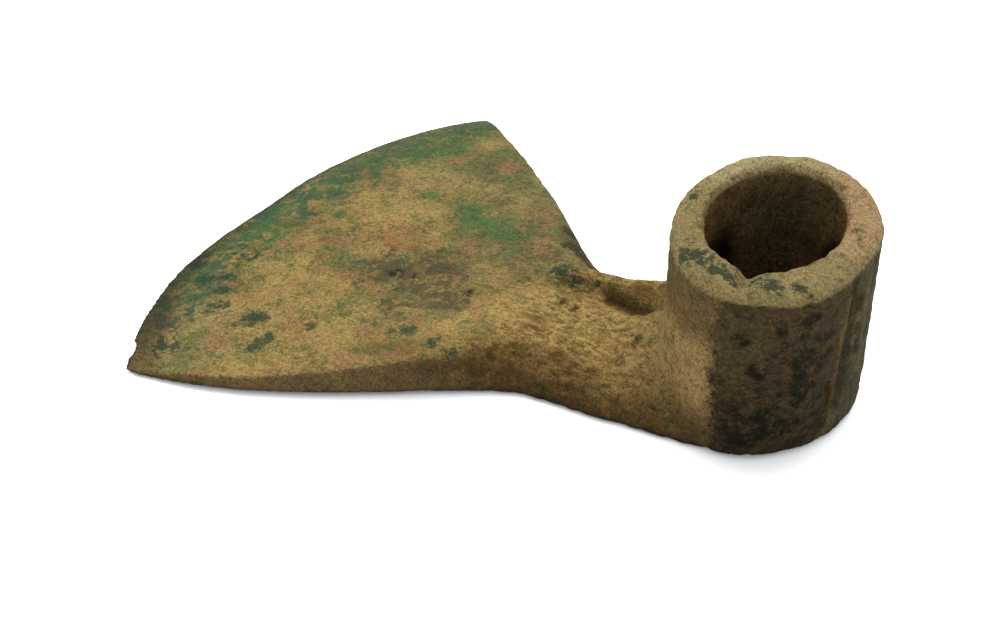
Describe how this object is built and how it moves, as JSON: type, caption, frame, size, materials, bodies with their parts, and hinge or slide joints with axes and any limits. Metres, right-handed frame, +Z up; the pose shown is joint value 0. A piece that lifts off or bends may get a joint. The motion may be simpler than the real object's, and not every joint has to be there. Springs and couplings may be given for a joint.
{
  "type": "adze head",
  "caption": "Cast shaft-hole adze head with a broad flared blade, a rounded neck and an upright oval socket open at both ends.",
  "frame": {"origin": "middle of the bounding box, on the surface that the head lies on", "axes": "+X from the cutting edge towards the socket, +Y towards the far side of the blade in the picture, +Z up along the socket"},
  "size_m": [0.1394, 0.1178, 0.0429],
  "materials": {
    "patinated_bronze": "matt, sandy brown and olive patina with green corrosion along the edge"
  },
  "bodies": {
    "root": {"adze_head": "patinated_bronze"}
  },
  "joints": []
}
